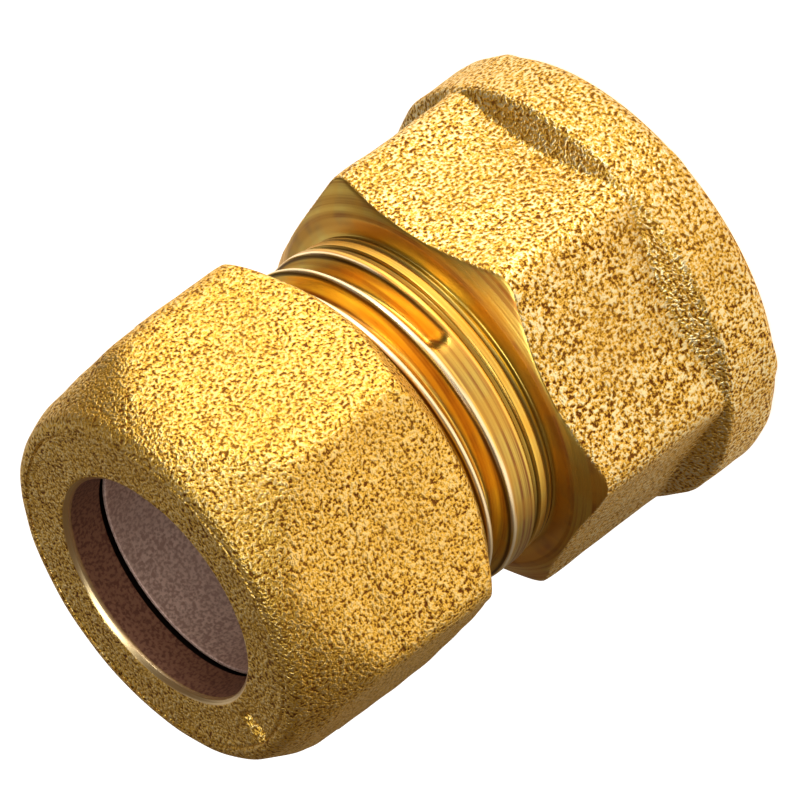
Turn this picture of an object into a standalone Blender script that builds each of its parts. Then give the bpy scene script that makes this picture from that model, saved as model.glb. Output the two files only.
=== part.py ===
"""Straight compression fitting in brass: a 14 mm tube end joined to a G 1/2 female thread.

Three pieces sit on one axis, which is +Z. The body stands on its round collar, with the
origin at the centre of that end face. The olive seals between two cones, and the nut
screws down over both. All sizes are in metres.
"""

import math

import bmesh
import bpy
from mathutils import Matrix

MM = 0.001

# Standard sizes that everything else follows.
TUBE_RADIUS = 7.0 * MM
TUBE_BORE_RADIUS = 6.0 * MM
THREAD_CREST_RADIUS = 10.4775 * MM  # G 1/2, major
THREAD_ROOT_RADIUS = 9.3155 * MM  # G 1/2, minor
ACROSS_FLATS = 23.5 * MM  # both hexagons, for a 24 mm spanner
HEX_CORNER_ROUND = 1.9 * MM

# Body, from the collar's end face upwards.
COLLAR_RADIUS = 13.5 * MM
COLLAR_TOP = 4.5 * MM
COLLAR_EDGE_ROUND = 1.2 * MM
FLARE_ROUND = 1.6 * MM
SHOULDER_RIM = 13.75 * MM  # height where the chamfer crosses the hexagon's corners
SHOULDER_RIM_RADIUS = 12.95 * MM
SHOULDER_EDGE_RADIUS = 11.3 * MM
SHOULDER_CHAMFER = math.radians(29.6)
SHOULDER_FOOT = 14.8 * MM
NECK_RADIUS = 10.2 * MM
NECK_TOP = 16.3 * MM
THREAD_START = 16.6 * MM
BODY_TOP = 27.8 * MM
THREAD_LEAD = 1.0 * MM

# Body bore, from the collar's end face upwards.
SOCKET_DEPTH = 12.5 * MM
SOCKET_LEAD = 1.5 * MM
DRILL_HALF_ANGLE = math.radians(59.0)
TUBE_STOP = 15.3 * MM
TUBE_CLEARANCE = 0.1 * MM

# Olive, a ring with a cone at each end.
OLIVE_BOTTOM = 26.6 * MM
OLIVE_LENGTH = 6.0 * MM
OLIVE_RADIUS = 8.4 * MM
OLIVE_BORE_RADIUS = 7.05 * MM
OLIVE_END_WALL = 0.3 * MM
CONE_HALF_ANGLE = math.radians(30.0)
CONE_GAP = 0.3 * MM

# Nut. Its front is drawn in to a round face by one steep cone.
NUT_BOTTOM = 21.3 * MM
NUT_TOP = 35.5 * MM
NUT_AT_REST = math.radians(-4.0)  # how far its flats stand out of line with the body's
NUT_FACE_RADIUS = 11.0 * MM
NUT_FACE_ROUND = 1.2 * MM
NUT_FRONT_CONE = math.radians(26.7)  # from the axis
NUT_HOLE_RADIUS = 7.1 * MM
NUT_LAND = 2.6 * MM
NUT_CONE_RADIUS = 9.0 * MM
NUT_BORE_RADIUS = 10.65 * MM
NUT_REAR_CHAMFER_RADIUS = 11.6 * MM
REAR_CHAMFER_ANGLE = math.radians(40.0)
NUT_THREAD_LEAD = 0.45 * MM
NUT_HOLE_CHAMFER = 0.3 * MM

# Fineness of round shapes.
TURN_STEPS = 64
ARC_STEPS = 4
CORNER_STEPS = 4

CORNERS_FROM_Y_TO_X = math.radians(30.0)
HEX_RADIUS = ACROSS_FLATS / 2 / math.cos(math.radians(30.0))
HIDDEN_BEHIND_FLATS = 0.3 * MM
BEYOND = 2.0 * MM  # how far cutters run past the metal


def clear_scene():
    for thing in list(bpy.data.objects):
        bpy.data.objects.remove(thing, do_unlink=True)


def new_collection(name):
    collection = bpy.data.collections.new(name)
    bpy.context.scene.collection.children.link(collection)
    return collection


def new_object(name, mesh, collection):
    thing = bpy.data.objects.new(name, mesh)
    collection.objects.link(thing)
    return thing


def metal(name, colour, roughness):
    material = bpy.data.materials.new(name)
    material.use_nodes = True
    shader = material.node_tree.nodes["Principled BSDF"]
    shader.inputs["Base Color"].default_value = (*colour, 1.0)
    shader.inputs["Metallic"].default_value = 1.0
    shader.inputs["Roughness"].default_value = roughness
    return material


def rounded(corners):
    """Turn (radius, height, edge round) corners into points, each round drawn as an arc."""
    points = []
    for index, (radius, height, edge_round) in enumerate(corners):
        if edge_round == 0.0:
            points.append((radius, height))
            continue
        before = corners[index - 1]
        after = corners[(index + 1) % len(corners)]
        points.extend(arc_at((radius, height), before[:2], after[:2], edge_round))
    return points


def arc_at(corner, before, after, edge_round):
    """The arc that is tangent to both sides of one corner, from one side to the other."""
    to_before = unit(before[0] - corner[0], before[1] - corner[1])
    to_after = unit(after[0] - corner[0], after[1] - corner[1])
    cosine = to_before[0] * to_after[0] + to_before[1] * to_after[1]
    half_angle = math.acos(cosine) / 2
    inward = unit(to_before[0] + to_after[0], to_before[1] + to_after[1])
    centre_distance = edge_round / math.sin(half_angle)
    centre = (
        corner[0] + inward[0] * centre_distance,
        corner[1] + inward[1] * centre_distance,
    )
    reach = edge_round / math.tan(half_angle)
    start = (corner[0] + to_before[0] * reach, corner[1] + to_before[1] * reach)
    end = (corner[0] + to_after[0] * reach, corner[1] + to_after[1] * reach)
    first = math.atan2(start[1] - centre[1], start[0] - centre[0])
    last = math.atan2(end[1] - centre[1], end[0] - centre[0])
    sweep = (last - first + math.pi) % (2 * math.pi) - math.pi
    points = []
    for step in range(ARC_STEPS + 1):
        angle = first + sweep * step / ARC_STEPS
        points.append(
            (
                centre[0] + edge_round * math.cos(angle),
                centre[1] + edge_round * math.sin(angle),
            )
        )
    return points


def unit(x, y):
    length = math.hypot(x, y)
    return x / length, y / length


def turned(name, corners, collection, closed=False):
    """A turned shape: an outline down its outer side, swept round Z by a Screw modifier."""
    outline = rounded(corners)
    mesh = bpy.data.meshes.new(name)
    edges = [(i, i + 1) for i in range(len(outline) - 1)]
    if closed:
        edges.append((len(outline) - 1, 0))
    mesh.from_pydata([(radius, 0.0, height) for radius, height in outline], edges, [])
    thing = new_object(name, mesh, collection)
    screw = thing.modifiers.new("Turn", "SCREW")
    screw.axis = "Z"
    screw.angle = 2 * math.pi
    screw.steps = TURN_STEPS
    screw.render_steps = TURN_STEPS
    screw.use_merge_vertices = True
    screw.merge_threshold = 0.00001
    return thing


def boolean(thing, tool, operation):
    modifier = thing.modifiers.new(tool.name, "BOOLEAN")
    modifier.operation = operation
    modifier.solver = "EXACT"
    modifier.object = tool


def as_cutter(thing):
    thing.hide_render = True
    thing.display_type = "WIRE"
    return thing


def hexagon_bar(name, bottom, top, turn, collection):
    """A hexagonal bar with rounded corners. At turn 0 its corners lie on X."""
    shape = bmesh.new()
    bmesh.ops.create_cone(
        shape,
        segments=6,
        cap_ends=True,
        radius1=HEX_RADIUS,
        radius2=HEX_RADIUS,
        depth=top - bottom,
    )
    upright = [e for e in shape.edges if abs(e.verts[0].co.z - e.verts[1].co.z) > MM]
    bmesh.ops.bevel(
        shape,
        geom=upright,
        offset=HEX_CORNER_ROUND * math.tan(math.radians(30.0)),
        offset_type="OFFSET",
        segments=CORNER_STEPS,
        profile=0.5,
        affect="EDGES",
    )
    upward = Matrix.Translation((0.0, 0.0, (top + bottom) / 2))
    round_axis = Matrix.Rotation(CORNERS_FROM_Y_TO_X + turn, 4, "Z")
    bmesh.ops.transform(shape, matrix=upward @ round_axis, verts=shape.verts)
    mesh = bpy.data.meshes.new(name)
    shape.to_mesh(mesh)
    shape.free()
    return new_object(name, mesh, collection)


def shade_round(thing):
    thing.data.shade_smooth()
    thing.data.set_sharp_from_angle(angle=math.radians(30.0))


def make_body_hexagon(cutters):
    """The body's hexagon, topped by the shoulder's chamfer and its nearly flat land."""
    top = SHOULDER_FOOT + BEYOND
    hexagon = as_cutter(hexagon_bar("body_hexagon", COLLAR_TOP / 2, top, 0.0, cutters))
    outer = HEX_RADIUS + BEYOND
    envelope = turned(
        "shoulder_envelope",
        [
            (0.0, SHOULDER_FOOT, 0.0),
            (NECK_RADIUS, SHOULDER_FOOT, 0.0),
            (SHOULDER_EDGE_RADIUS, shoulder_height(SHOULDER_EDGE_RADIUS), 0.0),
            (outer, shoulder_height(outer), 0.0),
            (outer, 0.0, 0.0),
            (0.0, 0.0, 0.0),
        ],
        cutters,
    )
    boolean(hexagon, as_cutter(envelope), "INTERSECT")
    return hexagon


def shoulder_height(radius):
    """Height of the shoulder's chamfer at one radius."""
    return SHOULDER_RIM + (SHOULDER_RIM_RADIUS - radius) * math.tan(SHOULDER_CHAMFER)


def make_body_bore(cutters):
    """Everything bored out of the body, from the seat cone down to the threaded socket."""
    seat_radius = OLIVE_RADIUS + CONE_GAP / math.cos(CONE_HALF_ANGLE)
    olive_cone_top = OLIVE_BOTTOM + olive_cone_height()
    seat_top = BODY_TOP + BEYOND
    seat_at_top = seat_radius - (olive_cone_top - seat_top) * math.tan(CONE_HALF_ANGLE)
    tube_radius = TUBE_RADIUS + TUBE_CLEARANCE
    seat_foot = olive_cone_top - (seat_radius - tube_radius) / math.tan(CONE_HALF_ANGLE)
    drill_height = (THREAD_ROOT_RADIUS - TUBE_BORE_RADIUS) / math.tan(DRILL_HALF_ANGLE)
    return as_cutter(
        turned(
            "body_bore",
            [
                (0.0, seat_top, 0.0),
                (seat_at_top, seat_top, 0.0),
                (tube_radius, seat_foot, 0.0),
                (tube_radius, TUBE_STOP, 0.0),
                (TUBE_BORE_RADIUS, TUBE_STOP, 0.0),
                (TUBE_BORE_RADIUS, SOCKET_DEPTH + drill_height, 0.0),
                (THREAD_ROOT_RADIUS, SOCKET_DEPTH, 0.0),
                (THREAD_ROOT_RADIUS, SOCKET_LEAD, 0.0),
                (THREAD_ROOT_RADIUS + SOCKET_LEAD, 0.0, 0.0),
                (THREAD_ROOT_RADIUS + SOCKET_LEAD + BEYOND, -BEYOND, 0.0),
                (0.0, -BEYOND, 0.0),
            ],
            cutters,
        )
    )


def make_body(parts, cutters, material):
    hidden_radius = ACROSS_FLATS / 2 - HIDDEN_BEHIND_FLATS
    flare_drop = COLLAR_RADIUS - hidden_radius
    body = turned(
        "body",
        [
            (0.0, BODY_TOP, 0.0),
            (THREAD_CREST_RADIUS - THREAD_LEAD, BODY_TOP, 0.0),
            (THREAD_CREST_RADIUS, BODY_TOP - THREAD_LEAD, 0.0),
            (THREAD_CREST_RADIUS, THREAD_START, 0.0),
            (NECK_RADIUS, NECK_TOP, 0.0),
            (NECK_RADIUS, SHOULDER_RIM, 0.0),
            (hidden_radius, SHOULDER_RIM - MM, 0.0),
            (hidden_radius, COLLAR_TOP + flare_drop * 0.5, FLARE_ROUND),
            (COLLAR_RADIUS, COLLAR_TOP, COLLAR_EDGE_ROUND),
            (COLLAR_RADIUS, 0.0, COLLAR_EDGE_ROUND),
            (0.0, 0.0, 0.0),
        ],
        parts,
    )
    boolean(body, make_body_hexagon(cutters), "UNION")
    boolean(body, make_body_bore(cutters), "DIFFERENCE")
    body.data.materials.append(material)
    return body


def olive_cone_height():
    rise = OLIVE_RADIUS - OLIVE_BORE_RADIUS - OLIVE_END_WALL
    return rise / math.tan(CONE_HALF_ANGLE)


def make_olive(parts, material):
    """The sealing ring, a short barrel with a cone at each end."""
    top = OLIVE_BOTTOM + OLIVE_LENGTH
    end_radius = OLIVE_BORE_RADIUS + OLIVE_END_WALL
    olive = turned(
        "olive",
        [
            (end_radius, top, 0.0),
            (OLIVE_RADIUS, top - olive_cone_height(), 0.0),
            (OLIVE_RADIUS, OLIVE_BOTTOM + olive_cone_height(), 0.0),
            (end_radius, OLIVE_BOTTOM, 0.0),
            (OLIVE_BORE_RADIUS, OLIVE_BOTTOM, 0.0),
            (OLIVE_BORE_RADIUS, top, 0.0),
        ],
        parts,
        closed=True,
    )
    olive.data.materials.append(material)
    return olive


def make_nut_bore(cutters):
    """The nut's inside: tube hole, cone that presses the olive, and bore for the thread."""
    cone_top = NUT_TOP - NUT_LAND
    olive_shoulder = OLIVE_BOTTOM + OLIVE_LENGTH - olive_cone_height()
    cone_at_shoulder = OLIVE_RADIUS + CONE_GAP / math.cos(CONE_HALF_ANGLE)
    cone_top_radius = cone_at_shoulder - (cone_top - olive_shoulder) * math.tan(CONE_HALF_ANGLE)
    cone_foot = olive_shoulder - (NUT_CONE_RADIUS - cone_at_shoulder) / math.tan(CONE_HALF_ANGLE)
    bore_top = BODY_TOP + MM
    return as_cutter(
        turned(
            "nut_bore",
            [
                (0.0, NUT_TOP + BEYOND, 0.0),
                (NUT_HOLE_RADIUS + NUT_HOLE_CHAMFER + BEYOND, NUT_TOP + BEYOND, 0.0),
                (NUT_HOLE_RADIUS, NUT_TOP - NUT_HOLE_CHAMFER, 0.0),
                (NUT_HOLE_RADIUS, cone_top, 0.0),
                (cone_top_radius, cone_top, 0.0),
                (NUT_CONE_RADIUS, cone_foot, 0.0),
                (NUT_CONE_RADIUS, bore_top, 0.0),
                (NUT_BORE_RADIUS, bore_top, 0.0),
                (NUT_BORE_RADIUS, NUT_BOTTOM + NUT_THREAD_LEAD, 0.0),
                (NUT_BORE_RADIUS + NUT_THREAD_LEAD + BEYOND, NUT_BOTTOM - BEYOND, 0.0),
                (0.0, NUT_BOTTOM - BEYOND, 0.0),
            ],
            cutters,
        )
    )


def make_nut_envelope(cutters):
    """Takes the hexagon's corners off, with a steep cone in front and a flatter one behind."""
    outer = HEX_RADIUS + BEYOND
    front_drop = (outer - NUT_FACE_RADIUS) / math.tan(NUT_FRONT_CONE)
    rear_rise = (outer - NUT_REAR_CHAMFER_RADIUS) * math.tan(REAR_CHAMFER_ANGLE)
    return as_cutter(
        turned(
            "nut_envelope",
            [
                (0.0, NUT_TOP, 0.0),
                (NUT_FACE_RADIUS, NUT_TOP, NUT_FACE_ROUND),
                (outer, NUT_TOP - front_drop, 0.0),
                (outer, NUT_BOTTOM + rear_rise, 0.0),
                (NUT_REAR_CHAMFER_RADIUS, NUT_BOTTOM, 0.0),
                (0.0, NUT_BOTTOM, 0.0),
            ],
            cutters,
        )
    )


def make_nut(parts, cutters, material):
    bottom = NUT_BOTTOM - BEYOND
    nut = hexagon_bar("compression_nut", bottom, NUT_TOP + BEYOND, NUT_AT_REST, parts)
    boolean(nut, make_nut_envelope(cutters), "INTERSECT")
    boolean(nut, make_nut_bore(cutters), "DIFFERENCE")
    nut.data.materials.append(material)
    return nut


def main():
    clear_scene()
    parts = new_collection("compression_fitting")
    cutters = new_collection("cutters")
    forged = metal("forged_brass", (0.72, 0.50, 0.16), 0.45)
    turned_brass = metal("turned_brass", (0.80, 0.52, 0.14), 0.25)
    dull = metal("olive_brass", (0.40, 0.31, 0.28), 0.5)
    body = make_body(parts, cutters, turned_brass)
    olive = make_olive(parts, dull)
    nut = make_nut(parts, cutters, forged)
    for thing in (body, olive, nut):
        shade_round(thing)


main()
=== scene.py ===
"""Looks of the straight compression fitting: forged and turned brass on a pale studio floor.

Three skins stand for the three CAD solids. Each is one closed mesh: its rows follow the outline
down the outside and up through the bore, and its columns go round the axis, which is +Z.
Lengths are in millimetres until a mesh is written.

Every point of a skin carries the finish of its surface and the painted light and shade of its
colour, which the materials read:
  turned   0 on the blasted forging, 1 where a lathe has cut
  dull_shaded  1 deep in the bores, where the brass is rougher and its colour is painted brown as
  shade
  shade    how far the colour is darkened by painted shade, in grooves, gaps and bores, and along the uncut thread
  painted_highlight  how far the colour is painted bright as a highlight, on crests and edges
  grooved  1 where the male thread is cut to its full depth
"""

import math

import bpy
import numpy as np
from mathutils import Matrix, Vector


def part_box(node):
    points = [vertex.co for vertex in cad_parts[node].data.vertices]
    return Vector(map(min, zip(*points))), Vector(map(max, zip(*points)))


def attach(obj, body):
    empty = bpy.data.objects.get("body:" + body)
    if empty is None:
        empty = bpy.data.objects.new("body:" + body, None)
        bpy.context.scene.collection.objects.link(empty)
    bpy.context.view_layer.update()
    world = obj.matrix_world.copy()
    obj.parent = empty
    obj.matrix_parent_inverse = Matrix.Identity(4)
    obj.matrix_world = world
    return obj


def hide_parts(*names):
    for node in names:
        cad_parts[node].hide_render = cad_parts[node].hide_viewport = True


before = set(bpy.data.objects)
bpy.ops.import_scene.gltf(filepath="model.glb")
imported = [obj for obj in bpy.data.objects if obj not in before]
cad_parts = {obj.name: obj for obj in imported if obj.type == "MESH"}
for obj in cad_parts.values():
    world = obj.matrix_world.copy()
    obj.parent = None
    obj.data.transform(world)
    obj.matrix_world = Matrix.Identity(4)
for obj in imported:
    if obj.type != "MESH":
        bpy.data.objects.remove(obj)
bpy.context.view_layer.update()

MM = 0.001


def heights_of(node):
    """Lowest and highest point of a CAD solid."""
    low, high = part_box(node)
    return round(low.z / MM, 3), round(high.z / MM, 3)


# G 1/2 pipe thread, used by the nut and by the socket. It is right-hand.
PITCH = 1.8143
CREST_RADIUS = 10.4775
ROOT_RADIUS = 9.3155
THREAD_TRIANGLE = 0.9605 * PITCH  # height of the sharp triangle that the profile is cut from
THREAD_ROUND = 0.16
MALE_CREST_ROUND = 0.08
CREST_AT = 15.19  # height of a crest at angle 0
GROOVE_START = math.radians(297.0)  # where the tool enters the first groove
GROOVE_RUN_IN = math.radians(7.0)
THREAD_PLAY = 0.12

# Hexagons. The body's corners lie on X, and the nut's are turned a little from them.
HALF_WRENCH = 11.75
CORNER_ROUND = 1.9
NUT_AT_REST = math.radians(-4.0)
OUTSIDE = 14.0  # where the shoulder's cone ends, beyond every corner
NUT_OUTSIDE = 14.2  # where the cone of the nut's front ends

# Body, outside.
BODY_BOTTOM, BODY_TOP = heights_of("body")
COLLAR_RADIUS = round(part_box("body")[1].x / MM, 3)
COLLAR_TOP = 4.5
SHOULDER_EDGE = 14.69
SHOULDER_EDGE_RADIUS = 11.3
SHOULDER_SLOPE = math.tan(math.radians(29.6))
SHOULDER = 14.8
NECK_TOP = 16.6
NECK_RIDGE = 10.3
NECK_PLAIN = 10.25
NECK_GROOVE = 10.12
THREAD_LEAD = 1.1

# Body, inside: the threaded socket, the waterway, and the tube's socket with its seat.
SOCKET_DEPTH = 12.5
SOCKET_CONE_TOP = 14.49
WATERWAY_RADIUS = 6.0
TUBE_STOP = 15.3
TUBE_RADIUS = 7.1
SEAT_BOTTOM = 25.57
SEAT_RADIUS = 8.39

# Nut.
NUT_BOTTOM, NUT_TOP = heights_of("compression_nut")
NUT_FACE_RADIUS = 10.98
NUT_FRONT_SLOPE = math.tan(math.radians(26.7))
NUT_LAND = 2.6
NUT_RELIEF_RADIUS = 10.3
NUT_THREAD_RADIUS = ROOT_RADIUS + 0.1

# One short, plain notch near the edge of the nut's face.
NOTCH_AT = math.radians(201.0)
NOTCH_FROM = 8.3
NOTCH_TO = 10.1
NOTCH_HALF_WIDTH = 0.3
NOTCH_DEPTH = 0.4

# Olive.
OLIVE_BOTTOM, OLIVE_TOP = heights_of("olive")
OLIVE_RADIUS = 8.4
OLIVE_BORE = 7.05

# Shallow dents of the forging. Only the lowest parts of the waves are kept.
DENT_LENGTH = 3.0
DENT_HEIGHT = 0.03
DENT_LEVEL = 1.6

# Fineness.
BODY_COLUMNS = 252
NUT_COLUMNS = 300
OLIVE_COLUMNS = 160
FINEST = 0.08
FINE = 0.12
COARSE = 0.35


def soft_min(a, b, k):
    """The smaller of two numbers, rounded over a width of about k where they cross."""
    return 0.5 * (a + b - np.sqrt((a - b) ** 2 + k * k))


def soft_max(a, b, k):
    """The larger of two numbers, rounded over a width of about k where they cross."""
    return 0.5 * (a + b + np.sqrt((a - b) ** 2 + k * k))


def smooth_step(x):
    x = np.clip(x, 0.0, 1.0)
    return x * x * (3 - 2 * x)


def hexagon(angles):
    """Distance from the axis to a hexagon with rounded corners, in each direction."""
    sixth = math.radians(60.0)
    from_corner = (angles + sixth / 2) % sixth - sixth / 2
    from_flat = sixth / 2 - np.abs(from_corner)
    flat = HALF_WRENCH / np.cos(from_flat)
    centre = (HALF_WRENCH - CORNER_ROUND) / math.cos(sixth / 2)
    across = centre * np.sin(from_corner)
    arc = centre * np.cos(from_corner) + np.sqrt(np.maximum(CORNER_ROUND**2 - across**2, 0.0))
    tangent = math.atan2((HALF_WRENCH - CORNER_ROUND) * math.tan(sixth / 2), HALF_WRENCH)
    return np.where(from_flat <= tangent, flat, arc)


def thread_phase(heights, angles):
    """Pitches between each point and the helix of crests, which lies on the whole numbers."""
    return (heights - CREST_AT) / PITCH - angles / (2 * math.pi)


def off_crest(phase):
    return np.abs(phase - np.round(phase))


def thread_height(heights, angles, groove_start=None, crest_round=THREAD_ROUND):
    """Height of the rounded thread above its root. Before its start, a groove isn't cut."""
    phase = thread_phase(heights, angles)
    rise = THREAD_TRIANGLE * (5 / 6 - 2 * off_crest(phase))
    top = THREAD_TRIANGLE * 2 / 3
    height = soft_max(soft_min(rise, top, crest_round), 0.0, THREAD_ROUND)
    if groove_start is None:
        return height
    wound = angles + 2 * math.pi * np.floor(phase)
    cut = smooth_step((wound - groove_start) / GROOVE_RUN_IN)
    return height * cut + top * (1 - cut)


class Outline:
    """Rows of a skin, walked from corner to corner. A zone names the surface a row is on."""

    def __init__(self):
        self.rows = []

    def stretch(self, start, end, spacing, zone):
        """Rows along a straight run. The end point is left to what follows."""
        length = math.hypot(end[0] - start[0], end[1] - start[1])
        count = max(1, round(length / spacing))
        for i in range(count):
            t = i / count
            height = start[0] + (end[0] - start[0]) * t
            radius = start[1] + (end[1] - start[1]) * t
            self.rows.append((height, radius, zone))

    def close(self, corners):
        """Walks a closed list of (height, radius, round, spacing, zone) corners."""
        count = len(corners)
        arcs = [self.corner_arc(corners, i) for i in range(count)]
        for i in range(count):
            spacing, zone = corners[i][3:5]
            before_zone = corners[i - 1][4]
            arc = arcs[i]
            for step, point in enumerate(arc[:-1]):
                side = before_zone if step < len(arc) / 2 else zone
                self.rows.append((point[0], point[1], side))
            self.stretch(arc[-1], arcs[(i + 1) % count][0], spacing, zone)

    @staticmethod
    def corner_arc(corners, i):
        """Points of the arc that rounds one corner, or the corner itself."""
        here = np.array(corners[i][:2])
        size = corners[i][2]
        if size == 0:
            return [tuple(here)]
        before = np.array(corners[i - 1][:2]) - here
        after = np.array(corners[(i + 1) % len(corners)][:2]) - here
        before /= np.linalg.norm(before)
        after /= np.linalg.norm(after)
        half = math.acos(float(np.clip(before @ after, -1, 1))) / 2
        reach = size / math.tan(half)
        middle = (before + after) / np.linalg.norm(before + after)
        centre = here + middle * size / math.sin(half)
        start = here + before * reach - centre
        end = here + after * reach - centre
        sweep = math.pi - 2 * half
        steps = max(3, round(size * sweep / FINE))
        points = []
        for step in range(steps + 1):
            t = step / steps
            a = math.sin((1 - t) * sweep) / math.sin(sweep)
            b = math.sin(t * sweep) / math.sin(sweep)
            points.append(tuple(centre + start * a + end * b))
        return points

    def arrays(self):
        heights = np.array([row[0] for row in self.rows])
        radii = np.array([row[1] for row in self.rows])
        zones = np.array([row[2] for row in self.rows])
        return heights, radii, zones


def undulation(points, wavelength, seed):
    """Smooth seeded waves between about -1 and 1, for the unevenness of a forging."""
    random = np.random.default_rng(seed)
    total = np.zeros(points.shape[:-1])
    count = 14
    for _ in range(count):
        direction = random.normal(size=3)
        direction /= np.linalg.norm(direction)
        length = wavelength * random.uniform(0.7, 1.6)
        phase = random.uniform(0, 2 * math.pi)
        total += np.sin(points @ direction * 2 * math.pi / length + phase)
    return total / math.sqrt(count)


def dents(points, seed):
    """Depth of the forging's dents, zero or negative."""
    return DENT_HEIGHT * np.minimum(undulation(points, DENT_LENGTH, seed) - DENT_LEVEL, 0.0)


def place(radii, heights, angles):
    """Points from cylinder coordinates."""
    return np.stack([radii * np.cos(angles), radii * np.sin(angles), heights], axis=-1)


def skin(name, points, finish, body, node):
    """Makes one closed mesh from rows by columns of points, and hangs it on its body."""
    rows, columns = points.shape[:2]
    index = np.arange(rows * columns).reshape(rows, columns)
    below = np.roll(index, -1, axis=0)
    faces = np.stack(
        [index, below, np.roll(below, -1, axis=1), np.roll(index, -1, axis=1)], axis=-1
    )
    mesh = bpy.data.meshes.new(name)
    mesh.from_pydata((points.reshape(-1, 3) * MM).tolist(), [], faces.reshape(-1, 4).tolist())
    mesh.shade_smooth()
    for label, values in finish.items():
        attribute = mesh.attributes.new(label, "FLOAT", "POINT")
        attribute.data.foreach_set("value", values.reshape(-1).astype(np.float32))
    piece = bpy.data.objects.new(name, mesh)
    bpy.context.scene.collection.objects.link(piece)
    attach(piece, body)
    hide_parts(node)
    return piece


def grid(outline, columns):
    """Row heights, radii and zones as columns, and the angles as a row."""
    heights, radii, zones = outline.arrays()
    angles = np.arange(columns) * 2 * math.pi / columns
    return heights[:, None], radii[:, None], zones[:, None], angles[None, :]


def body_outline():
    cone_end = SHOULDER_EDGE - (OUTSIDE - SHOULDER_EDGE_RADIUS) * SHOULDER_SLOPE
    outline = Outline()
    outline.close(
        [
            (BODY_TOP, SEAT_RADIUS, 0.1, COARSE, "turned"),
            (BODY_TOP, CREST_RADIUS - THREAD_LEAD, 0.06, FINE, "male"),
            (BODY_TOP - THREAD_LEAD, CREST_RADIUS + 0.02, 0, FINE, "male"),
            (NECK_TOP, CREST_RADIUS + 0.02, 0.25, FINEST, "neck"),
            (NECK_TOP - 0.22, NECK_GROOVE, 0.1, FINEST, "neck"),
            (NECK_TOP - 0.5, NECK_GROOVE, 0.1, FINEST, "neck"),
            (NECK_TOP - 0.62, NECK_RIDGE, 0.1, FINEST, "neck"),
            (NECK_TOP - 1.1, NECK_RIDGE, 0.1, FINEST, "neck"),
            (NECK_TOP - 1.22, NECK_GROOVE, 0.08, FINEST, "neck"),
            (NECK_TOP - 1.4, NECK_PLAIN, 0.1, FINEST, "neck"),
            (SHOULDER + 0.35, NECK_PLAIN, 0.15, FINEST, "neck"),
            (SHOULDER, 10.05, 0.12, 0.2, "shoulder"),
            (SHOULDER_EDGE, SHOULDER_EDGE_RADIUS, 0.3, 0.14, "shoulder"),
            (cone_end, OUTSIDE, 0, 0.3, "hexagon"),
            (COLLAR_TOP + 0.95, 11.2, 0.3, 0.14, "collar"),
            (COLLAR_TOP + 0.1, 12.7, 0.5, 0.14, "collar"),
            (COLLAR_TOP - 0.2, COLLAR_RADIUS, 0.7, 0.25, "collar"),
            (BODY_BOTTOM, COLLAR_RADIUS, 1.2, 0.2, "end"),
            (BODY_BOTTOM, 10.85, 0.1, 0.14, "end"),
            (BODY_BOTTOM + 1.5, ROOT_RADIUS - 0.03, 0, FINE, "female"),
            (SOCKET_DEPTH, ROOT_RADIUS - 0.03, 0, 0.8, "bore"),
            (SOCKET_CONE_TOP, WATERWAY_RADIUS, 0, 0.8, "bore"),
            (TUBE_STOP, WATERWAY_RADIUS, 0, 0.8, "bore"),
            (TUBE_STOP, TUBE_RADIUS, 0, 1.2, "bore"),
            (SEAT_BOTTOM, TUBE_RADIUS, 0, 0.8, "bore"),
        ]
    )
    return outline


def crest_highlight(heights, angles, radius):
    """A painted highlight: a bright line along the thread's crests, and a faint painted brightness
    on the uncut band.
    """
    line = smooth_step((0.085 - off_crest(thread_phase(heights, angles))) / 0.03)
    band = smooth_step((radius - CREST_RADIUS + 0.1) / 0.08) * 0.05
    return np.where(heights < NECK_TOP + 0.35, band, np.maximum(line, band))


def make_body():
    heights, radii, zones, angles = grid(body_outline(), BODY_COLUMNS)
    hexed = hexagon(angles)
    male = thread_height(heights, angles, GROOVE_START, MALE_CREST_ROUND)
    fade = smooth_step((SOCKET_DEPTH - 0.3 - heights) / 1.2)
    female = ROOT_RADIUS + thread_height(heights, angles) * fade
    in_socket = (zones == "female") | (zones == "end")
    flat_end = (zones == "end") & (heights < BODY_BOTTOM + 0.05)
    radius = np.broadcast_to(radii, male.shape)
    radius = np.where(zones == "male", soft_min(radii, ROOT_RADIUS + male, 0.06), radius)
    radius = np.where(zones == "shoulder", soft_min(hexed, radii, 0.12), radius)
    radius = np.where(zones == "hexagon", hexed, radius)
    collar = np.minimum(soft_max(hexed, radii, 0.25), COLLAR_RADIUS)
    radius = np.where(zones == "collar", collar, radius)
    radius = np.where(in_socket & ~flat_end, soft_max(radii, female, 0.04), radius)
    points = place(radius, heights + 0 * angles, angles)
    forged = np.isin(zones, ["hexagon", "collar"]) * 1.0
    forged = np.where(zones == "shoulder", smooth_step((radii - hexed) / 0.12 + 0.5), forged)
    radius = radius + dents(points, seed=3) * forged
    points = place(radius, heights + 0 * angles, angles)

    everywhere = np.ones_like(radius)
    full = thread_height(heights, angles, crest_round=MALE_CREST_ROUND)
    uncut = smooth_step((male - full) / 0.5) * (zones == "male")
    deep = (zones == "bore") & (heights > SOCKET_DEPTH + 0.5)
    neck_groove = (zones == "neck") & (radii < 10.2)
    on_thread = (zones == "male") | ((zones == "neck") & (heights > NECK_TOP))
    finish = {
        "turned": everywhere - forged,
        # Deep in the bore the metal is rougher, and its colour is painted dark brown as shade.
        "dull_shaded": deep * everywhere,
        # Painted shade: the deep bore, the neck's grooves and a stripe along the uncut thread are
        # darkened toward black.
        "shade": np.where(deep, 0.5, 0.6 * neck_groove + 0.35 * uncut) * everywhere,
        "grooved": (zones == "male") * smooth_step(1 - (male - full) / 0.08),
        # Painted highlight: a bright line on the thread's crests and a faint brightness on the uncut
        # band.
        "painted_highlight": np.where(on_thread, crest_highlight(heights, angles, radius), 0.0),
    }
    return skin("body_brass", points, finish, "fitting_body", "body")


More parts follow.
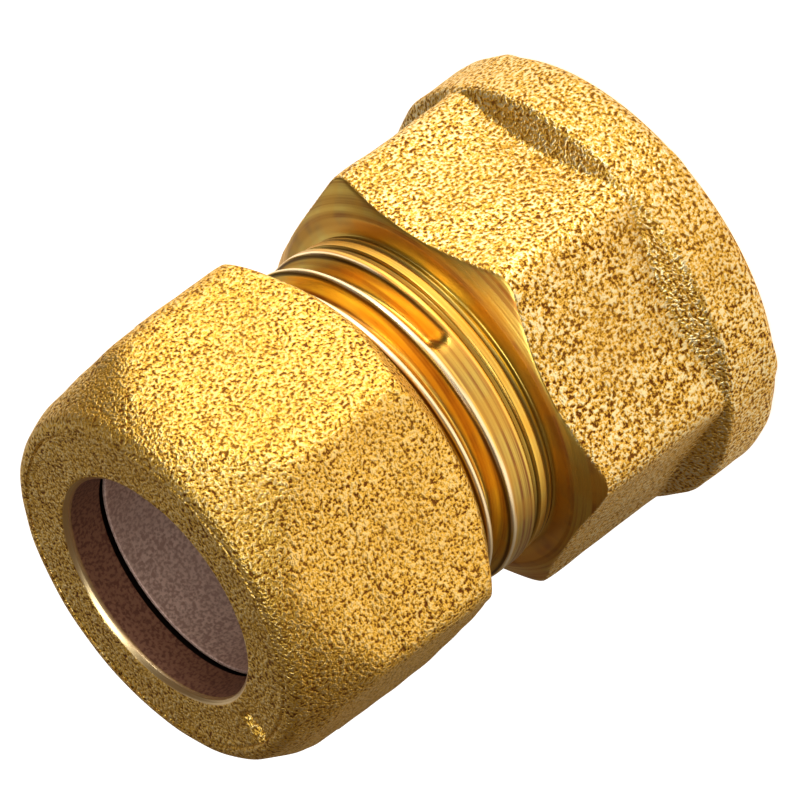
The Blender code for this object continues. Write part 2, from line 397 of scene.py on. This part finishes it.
def face_notch(points):
    """Depth of one short, plain notch across the nut's face."""
    out = points[..., 0] * math.cos(NOTCH_AT) + points[..., 1] * math.sin(NOTCH_AT)
    sideways = points[..., 1] * math.cos(NOTCH_AT) - points[..., 0] * math.sin(NOTCH_AT)
    across = smooth_step(1.6 - np.abs(sideways) / NOTCH_HALF_WIDTH)
    ends = smooth_step((out - NOTCH_FROM) / 0.3 + 0.5) * smooth_step((NOTCH_TO - out) / 0.3 + 0.5)
    return NOTCH_DEPTH * across * ends


def nut_outline():
    face = NUT_TOP - 0.02
    front_end = NUT_TOP - (NUT_OUTSIDE - NUT_FACE_RADIUS) / NUT_FRONT_SLOPE
    outline = Outline()
    outline.close(
        [
            (NUT_TOP - 0.3, TUBE_RADIUS, 0, 0.12, "edge"),
            (NUT_TOP, TUBE_RADIUS + 0.3, 0, 0.2, "face"),
            (NUT_TOP, 10.0, 0, 0.1, "crease"),
            (NUT_TOP - 0.14, 10.14, 0, 0.1, "crease"),
            (face, 10.3, 0.08, 0.1, "front"),
            (face, NUT_FACE_RADIUS, 0.95, 0.16, "front"),
            (front_end, NUT_OUTSIDE, 0, 0.3, "hexagon"),
            (NUT_BOTTOM + 1.9, 13.9, 0, 0.14, "rear"),
            (NUT_BOTTOM, 11.6, 0.12, 0.15, "lead"),
            (NUT_BOTTOM, 11.0, 0.1, 0.12, "lead"),
            (NUT_BOTTOM + 0.6, NUT_THREAD_RADIUS, 0, FINE, "female"),
            (NUT_TOP - 7.3, NUT_THREAD_RADIUS, 0.1, 0.2, "bore"),
            (NUT_TOP - 6.9, NUT_RELIEF_RADIUS, 0.1, 0.3, "bore"),
            (NUT_TOP - 5.3, NUT_RELIEF_RADIUS, 0.2, 0.3, "bore"),
            (NUT_TOP - 4.6, 8.9, 0.1, 0.2, "bore"),
            (NUT_TOP - NUT_LAND, 7.5, 0.1, 0.2, "bore"),
            (NUT_TOP - NUT_LAND, TUBE_RADIUS, 0.05, 0.2, "land"),
        ]
    )
    return outline


def make_nut():
    heights, radii, zones, angles = grid(nut_outline(), NUT_COLUMNS)
    hexed = hexagon(angles - NUT_AT_REST)
    threaded = ROOT_RADIUS + THREAD_PLAY + thread_height(heights, angles)
    in_thread = (zones == "female") | (zones == "lead")
    radius = np.broadcast_to(radii, threaded.shape)
    radius = np.where(zones == "front", soft_min(hexed, radii, 0.45), radius)
    radius = np.where(zones == "hexagon", hexed, radius)
    radius = np.where(zones == "rear", soft_min(hexed, radii, 0.15), radius)
    radius = np.where(in_thread, soft_max(radii, threaded, 0.04), radius)
    points = place(radius, heights + 0 * angles, angles)
    forged = np.isin(zones, ["face", "crease", "front", "hexagon", "rear"]) * 1.0
    dent = dents(points, seed=5) * forged * (zones != "crease")
    notch = face_notch(points) * (heights > NUT_TOP - NUT_LAND + 0.1)
    radius = radius + dent * (zones != "face")
    points = place(radius, heights + dent * (zones == "face") - notch, angles)

    everywhere = np.ones_like(radius)
    finish = {
        "turned": (1 - forged) * everywhere,
        # Painted shade: the bore and the land are rougher and painted dark brown.
        "dull_shaded": np.isin(zones, ["bore", "land"]) * everywhere,
        # Painted shade: the bore is darkened toward black.
        "shade": 0.9 * (zones == "bore") * everywhere,
        # Painted highlight: the hole's edge is painted bright.
        "painted_highlight": 0.5 * (zones == "edge") * everywhere,
    }
    return skin("nut_brass", points, finish, "nut", "compression_nut")


def make_olive():
    outline = Outline()
    outline.close(
        [
            (OLIVE_TOP - 0.1, OLIVE_BORE, 0.06, 0.1, "end"),
            (OLIVE_TOP - 0.1, 7.3, 0.06, 0.12, "cone"),
            (OLIVE_BOTTOM + 4.18, OLIVE_RADIUS, 0.3, 0.12, "middle"),
            (OLIVE_BOTTOM + 1.82, OLIVE_RADIUS, 0.3, 0.12, "cone"),
            (OLIVE_BOTTOM, 7.35, 0.06, 0.1, "end"),
            (OLIVE_BOTTOM, OLIVE_BORE, 0.06, 0.2, "bore"),
        ]
    )
    heights, radii, _, angles = grid(outline, OLIVE_COLUMNS)
    points = place(radii + 0 * angles, heights + 0 * angles, angles)
    finish = {"turned": np.ones(points.shape[:2])}
    return skin("olive_brass", points, finish, "ring", "olive")


class Graph:
    """Short names for building one material's nodes."""

    def __init__(self, name):
        self.material = bpy.data.materials.new(name)
        self.material.use_nodes = True
        self.nodes = self.material.node_tree.nodes
        self.links = self.material.node_tree.links
        self.shader = self.nodes["Principled BSDF"]
        self.position = self.nodes.new("ShaderNodeTexCoord").outputs["Object"]

    def link(self, value, socket):
        """Links a socket, or sets a number or an RGB colour."""
        if isinstance(value, bpy.types.NodeSocket):
            self.links.new(value, socket)
        elif isinstance(value, tuple):
            socket.default_value = (*value, 1.0)
        else:
            socket.default_value = value

    def xyz(self):
        node = self.nodes.new("ShaderNodeSeparateXYZ")
        self.links.new(self.position, node.inputs[0])
        return node.outputs["X"], node.outputs["Y"], node.outputs["Z"]

    def noise(self, scale, detail=2.0, roughness=0.5, stretch=None):
        node = self.nodes.new("ShaderNodeTexNoise")
        node.inputs["Scale"].default_value = scale
        node.inputs["Detail"].default_value = detail
        node.inputs["Roughness"].default_value = roughness
        position = self.position
        if stretch is not None:
            mapping = self.nodes.new("ShaderNodeMapping")
            mapping.inputs["Scale"].default_value = stretch
            self.links.new(position, mapping.inputs["Vector"])
            position = mapping.outputs["Vector"]
        self.links.new(position, node.inputs["Vector"])
        return node.outputs["Fac"]

    def math(self, operation, a, b=0.0):
        node = self.nodes.new("ShaderNodeMath")
        node.operation = operation
        self.link(a, node.inputs[0])
        self.link(b, node.inputs[1])
        return node.outputs[0]

    def range(self, value, low, high, to_low=0.0, to_high=1.0):
        """A smooth step from to_low at low to to_high at high."""
        node = self.nodes.new("ShaderNodeMapRange")
        node.interpolation_type = "SMOOTHSTEP"
        self.link(value, node.inputs["Value"])
        node.inputs["From Min"].default_value = low
        node.inputs["From Max"].default_value = high
        node.inputs["To Min"].default_value = to_low
        node.inputs["To Max"].default_value = to_high
        return node.outputs["Result"]

    def mix(self, factor, a, b, kind="FLOAT"):
        node = self.nodes.new("ShaderNodeMix")
        node.data_type = kind
        self.link(factor, node.inputs["Factor"])
        self.link(a, node.inputs["A"])
        self.link(b, node.inputs["B"])
        return node.outputs["Result"]

    def mix_colour(self, factor, a, b):
        return self.mix(factor, a, b, "RGBA")

    def bump(self, height, distance, strength=1.0, normal=None):
        node = self.nodes.new("ShaderNodeBump")
        self.link(strength, node.inputs["Strength"])
        node.inputs["Distance"].default_value = distance
        self.link(height, node.inputs["Height"])
        if normal is not None:
            self.links.new(normal, node.inputs["Normal"])
        return node.outputs["Normal"]

    def attribute(self, name):
        node = self.nodes.new("ShaderNodeAttribute")
        node.attribute_name = name
        return node.outputs["Fac"]

    def off_crest(self):
        """Distance from the thread's crest, in pitches along the axis: 0 to 0.5."""
        x, y, z = self.xyz()
        turns = self.math("MULTIPLY", self.math("ARCTAN2", y, x), 0.5 / math.pi)
        climb = self.math("MULTIPLY", z, 1 / (PITCH * MM))
        phase = self.math("SUBTRACT", self.math("SUBTRACT", climb, turns), CREST_AT / PITCH)
        return self.math("PINGPONG", phase, 0.5)


# Blasted forging, from the pits of its grain to the pale cream of the grain's peak, which is a
# painted highlight.
PIT_BROWN = (0.15, 0.044, 0.009)
FORGED_GOLD = (0.85, 0.54, 0.08)
PEAK_HIGHLIGHT = (0.97, 0.89, 0.56)
FORGED_DEEP = (0.64, 0.37, 0.05)

# Turned metal, with its tool rings, a pale painted highlight for crests and edges, and dark painted
# shade for the thread's flanks.
RING_BROWN = (0.42, 0.16, 0.03)
RING_GOLD = (0.90, 0.66, 0.14)
TURNED_AMBER = (0.88, 0.47, 0.05)
HIGHLIGHT_PALE = (1.0, 0.90, 0.66)
FLANK_SHADE = (0.06, 0.02, 0.006)

# Unpolished bores painted brown as shade, black for the painted shade of narrow gaps, and the olive,
# whose mauve-grey tone is a painted shaded reflection.
SHADED_BORE_BROWN = (0.16, 0.060, 0.035)
SHADED_BORE_TAN = (0.30, 0.14, 0.08)
# Black of the painted shade in grooves, gaps and bores.
SHADE_BLACK = (0.004, 0.003, 0.002)
# The olive's mauve-grey browns are a painted shaded reflection.
OLIVE_BROWN = (0.50, 0.32, 0.26)
OLIVE_PALE = (0.82, 0.60, 0.50)
OLIVE_WARM = (0.56, 0.38, 0.31)

# How pale the painted highlight on the grain's peak is, from 0 to 1.
BODY_GLINT = 1.0
NUT_GLINT = 0.42


def forged_colour(g, grain, glint_strength):
    broad = g.noise(170.0)
    # Painted highlight: the grain's peak is mixed toward pale cream.
    peak_glints = g.math("MULTIPLY", g.range(grain, 0.48, 0.64), glint_strength)
    colour = g.mix_colour(g.range(grain, 0.32, 0.50), PIT_BROWN, FORGED_GOLD)
    colour = g.mix_colour(peak_glints, colour, PEAK_HIGHLIGHT)
    return g.mix_colour(g.range(broad, 0.35, 0.7, 0.0, 0.3), colour, FORGED_DEEP)


def turned_colour(g, rings):
    """Ringed and blotched gold, with a painted highlight on crests and edges and painted shade on
    the thread's flanks.
    """
    blotch = g.noise(500.0)
    colour = g.mix_colour(g.range(rings, 0.32, 0.62), RING_BROWN, RING_GOLD)
    colour = g.mix_colour(g.range(blotch, 0.35, 0.65, 0.0, 0.5), colour, TURNED_AMBER)
    colour = g.mix_colour(g.attribute("painted_highlight"), colour, HIGHLIGHT_PALE)
    # Painted shade: a dark line on each flank beside the crest, where the thread is cut to full
    # depth.
    off_crest = g.off_crest()
    crest_side = g.range(off_crest, 0.09, 0.12)
    root_side = g.range(off_crest, 0.18, 0.14, 0.0, 0.8)
    flank_shade = g.math("MULTIPLY", g.math("MULTIPLY", crest_side, root_side), g.attribute("grooved"))
    return g.mix_colour(flank_shade, colour, FLANK_SHADE)


def brass(name, glint_strength):
    """Shot-blasted forging, bright turned metal, and rough metal deep in the bore whose brown colour
    is painted shade.
    """
    g = Graph(name)
    turned = g.attribute("turned")
    dull_shaded = g.attribute("dull_shaded")
    grain = g.noise(5000.0, detail=1.0)
    rings = g.noise(1000.0, detail=3.0, roughness=0.65, stretch=(0.02, 0.02, 4.0))
    colour = g.mix_colour(turned, forged_colour(g, grain, glint_strength), turned_colour(g, rings))
    # Painted shade: deep in the bores the colour is dark brown, and the shade mixes it toward black.
    shaded_bore_colour = g.mix_colour(g.range(grain, 0.35, 0.6), SHADED_BORE_BROWN, SHADED_BORE_TAN)
    colour = g.mix_colour(dull_shaded, colour, shaded_bore_colour)
    colour = g.mix_colour(g.attribute("shade"), colour, SHADE_BLACK)
    g.link(colour, g.shader.inputs["Base Color"])
    g.link(g.math("SUBTRACT", 1.0, g.math("MULTIPLY", dull_shaded, 0.8)), g.shader.inputs["Metallic"])
    forged_rough = g.range(grain, 0.35, 0.62, 0.60, 0.40)
    turned_rough = g.range(rings, 0.3, 0.7, 0.44, 0.28)
    rough = g.mix(dull_shaded, g.mix(turned, forged_rough, turned_rough), 0.6)
    g.link(rough, g.shader.inputs["Roughness"])
    forged_normal = g.bump(grain, 0.00013, g.mix(turned, 1.0, 0.0))
    normal = g.bump(rings, 0.00003, g.mix(turned, 0.0, 0.8), forged_normal)
    g.link(normal, g.shader.inputs["Normal"])
    return g.material


def olive_metal():
    """Dull brass with a fine matt grain, its mauve-grey brown a painted shaded reflection."""
    g = Graph("olive_metal")
    fine = g.noise(5200.0, detail=1.0)
    broad = g.noise(300.0)
    colour = g.mix_colour(g.range(fine, 0.35, 0.65), OLIVE_BROWN, OLIVE_PALE)
    colour = g.mix_colour(g.range(broad, 0.3, 0.7, 0.0, 0.3), colour, OLIVE_WARM)
    g.link(colour, g.shader.inputs["Base Color"])
    g.shader.inputs["Metallic"].default_value = 0.4
    g.link(g.range(fine, 0.3, 0.7, 0.5, 0.65), g.shader.inputs["Roughness"])
    g.link(g.bump(fine, 0.00003, 0.4), g.shader.inputs["Normal"])
    return g.material


# Camera: a long lens that looks down on the standing fitting, rolled so that the axis runs
# from lower left to upper right in the frame. It aims beside the nut's face.
CAMERA_AZIMUTH = math.radians(20.4)
CAMERA_ELEVATION = math.radians(27.7)
AXIS_IN_FRAME = math.radians(216.4)
LENS = 360.0
DISTANCE = 435.2
AIM_FROM_FACE = (13.39, 10.46)


def camera_axes():
    """The camera's right, up and backward directions."""
    back = Vector(
        (
            math.sin(CAMERA_AZIMUTH) * math.cos(CAMERA_ELEVATION),
            -math.cos(CAMERA_AZIMUTH) * math.cos(CAMERA_ELEVATION),
            math.sin(CAMERA_ELEVATION),
        )
    )
    axis = Vector((0, 0, 1))
    axis_seen = (axis - back * axis.dot(back)).normalized()
    across = back.cross(axis_seen)
    right = axis_seen * math.cos(-AXIS_IN_FRAME) + across * math.sin(-AXIS_IN_FRAME)
    return right, back.cross(right), back


def make_camera():
    right, up, back = camera_axes()
    data = bpy.data.cameras.new("camera")
    data.lens = LENS
    data.clip_start = 0.01
    data.clip_end = 20.0
    camera = bpy.data.objects.new("camera", data)
    bpy.context.scene.collection.objects.link(camera)
    face = Vector((0, 0, NUT_TOP))
    aim = face + right * AIM_FROM_FACE[0] + up * AIM_FROM_FACE[1]
    turn = Matrix((right, up, back)).transposed().to_4x4()
    camera.matrix_world = Matrix.Translation((aim + back * DISTANCE) * MM) @ turn
    bpy.context.scene.camera = camera


# Studio. The four lights' powers are in watts, and lengths here are in metres. The floor and the
# surroundings glow: to the eye they are white, but they light the fitting less, and warmly.
KEY = 1.0
FRONT = 0.52
OVERHEAD = 0.95
BACK = 0.28
SURROUNDINGS = 0.10
FLOOR_KEY = 1.2
FLOOR_FRONT = 1.2
FLOOR_BASE = 0.10
FLOOR_SEEN = 0.9
FLOOR_REACH = 3.0
FLOOR_GAP = 0.00005  # keeps the floor clear of the collar's end face
LIT_HEIGHT = 0.018  # the lights aim at the middle of the fitting
WHITE = (1.0, 1.0, 1.0)
WARM_LIGHT = (1.0, 0.90, 0.80)
WARM_GLOW = (1.0, 0.84, 0.64)
WARM_SURROUNDINGS = (1.0, 0.64, 0.40)
PAPER = (0.9, 0.9, 0.9)
WARM_PAPER = (0.2, 0.16, 0.12)


def area_light(name, direction, distance, size, power, colour=WHITE):
    data = bpy.data.lights.new(name, "AREA")
    data.shape = "DISK"
    data.size = size
    data.energy = power
    data.color = colour
    light = bpy.data.objects.new(name, data)
    bpy.context.scene.collection.objects.link(light)
    light.location = Vector((0, 0, LIT_HEIGHT)) + direction.normalized() * distance
    light.rotation_mode = "QUATERNION"
    light.rotation_quaternion = direction.to_track_quat("Z", "Y")


def floor_paper(toward, side):
    """White to the eye, but it lights the fitting most from the key side and from in front."""
    g = Graph("floor_paper")
    x, y, _ = g.xyz()

    def along(direction):
        return g.math("ADD", g.math("MULTIPLY", x, direction.x), g.math("MULTIPLY", y, direction.y))

    key = g.math("MULTIPLY", g.range(along(side), 0.0, 0.03), g.range(along(side), 0.14, 0.07))
    front = g.math("MULTIPLY", g.range(along(toward), -0.02, 0.03), g.range(along(toward), 0.2, 0.1))
    glow = g.math("ADD", g.math("MULTIPLY", key, FLOOR_KEY), g.math("MULTIPLY", front, FLOOR_FRONT))
    glow = g.math("ADD", glow, FLOOR_BASE)
    seen = g.nodes.new("ShaderNodeLightPath").outputs["Is Camera Ray"]
    g.link(g.mix(seen, glow, FLOOR_SEEN), g.shader.inputs["Emission Strength"])
    g.link(g.mix_colour(seen, WARM_GLOW, WHITE), g.shader.inputs["Emission Color"])
    g.link(g.mix_colour(seen, WARM_PAPER, PAPER), g.shader.inputs["Base Color"])
    g.shader.inputs["Roughness"].default_value = 0.9
    return g.material


def make_floor(toward, side):
    mesh = bpy.data.meshes.new("floor")
    signs = ((-1, -1), (1, -1), (1, 1), (-1, 1))
    corners = [(x * FLOOR_REACH, y * FLOOR_REACH, 0) for x, y in signs]
    mesh.from_pydata(corners, [], [(0, 1, 2, 3)])
    floor = bpy.data.objects.new("floor", mesh)
    floor.location.z = -FLOOR_GAP
    bpy.context.scene.collection.objects.link(floor)
    floor.data.materials.append(floor_paper(toward, side))


def make_world():
    """Plain white behind the fitting, and a dim warm light from all round."""
    world = bpy.data.worlds.new("studio")
    bpy.context.scene.world = world
    world.use_nodes = True
    nodes, links = world.node_tree.nodes, world.node_tree.links
    background = nodes["Background"]
    seen = nodes.new("ShaderNodeLightPath").outputs["Is Camera Ray"]
    tint = nodes.new("ShaderNodeMix")
    tint.data_type = "RGBA"
    tint.inputs["A"].default_value = (*WARM_SURROUNDINGS, 1.0)
    tint.inputs["B"].default_value = (*WHITE, 1.0)
    strength = nodes.new("ShaderNodeMix")
    strength.inputs["A"].default_value = SURROUNDINGS
    strength.inputs["B"].default_value = 1.0
    for mix, name in ((tint, "Color"), (strength, "Strength")):
        links.new(seen, mix.inputs["Factor"])
        links.new(mix.outputs["Result"], background.inputs[name])


def make_studio():
    toward = Vector((math.sin(CAMERA_AZIMUTH), -math.cos(CAMERA_AZIMUTH), 0.0))
    axis = Vector((0, 0, 1))
    side = axis.cross(toward)
    area_light("key", side * 0.7 + toward * 0.7 + axis * 0.02, 0.5, 0.16, KEY)
    area_light("front", toward * 0.85 + side * 0.25 + axis * 0.45, 0.6, 0.4, FRONT, WARM_LIGHT)
    area_light("overhead", axis * 0.85 - side * 0.05 + toward * 0.4, 0.5, 0.3, OVERHEAD)
    area_light("back", axis * 0.45 + side * 0.35 - toward * 0.85, 0.6, 0.5, BACK)
    make_world()
    make_floor(toward, side)


def main():
    bpy.context.scene.view_settings.view_transform = "Standard"
    make_body().data.materials.append(brass("body_metal", BODY_GLINT))
    make_nut().data.materials.append(brass("nut_metal", NUT_GLINT))
    make_olive().data.materials.append(olive_metal())
    make_camera()
    make_studio()


main()
